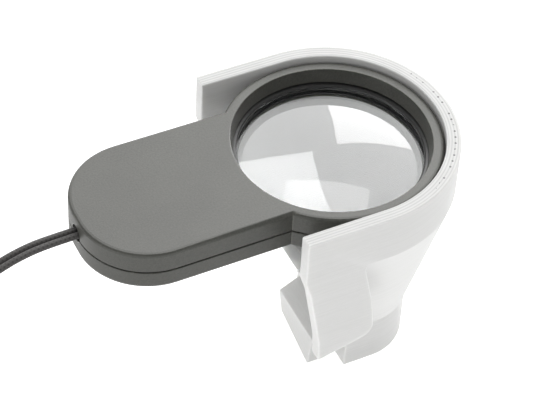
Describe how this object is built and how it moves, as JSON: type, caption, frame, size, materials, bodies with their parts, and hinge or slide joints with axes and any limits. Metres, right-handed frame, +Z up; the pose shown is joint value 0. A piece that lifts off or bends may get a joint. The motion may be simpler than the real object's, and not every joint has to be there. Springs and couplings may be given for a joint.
{
  "type": "viewing loupe",
  "caption": "Flat-handled viewing loupe with a recessed domed lens and a wrist cord, standing in a one-piece printed stand with a collar, an open-fronted cone and a small slotted foot.",
  "frame": {"origin": "middle of the object's footprint box, on the table the foot stands on, without the cord", "axes": "+X from the handle's rounded end towards the lens, +Y across the handle, +Z up along the lens axis"},
  "size_m": [0.174, 0.0572, 0.0661],
  "materials": {
    "dark_plastic": "fine satin texture, dark grey",
    "black_plastic": "satin black",
    "lens_glass": "clear, polished",
    "black_rubber": "matt",
    "screw_steel": "plain zinc",
    "cord_textile": "thin round cord, near black",
    "white_print": "white printed plastic with fine layer lines"
  },
  "bodies": {
    "stand": {"stand": "white_print"},
    "loupe": {"upper_shell": "dark_plastic", "lower_shell": "dark_plastic", "lens": "lens_glass", "lens_ring": "black_plastic", "lens_gasket": "black_rubber", "cord_pin": "screw_steel", "screw_1": "screw_steel", "screw_2": "screw_steel", "screw_3": "screw_steel", "screw_4": "screw_steel", "cord_strands": "cord_textile", "cord_coil": "cord_textile"}
  },
  "joints": [
    {"name": "loupe_lift", "type": "slide", "parent": "stand", "child": "loupe", "axis": [0, 0, 1], "range_m": [0, 0.02]}
  ]
}
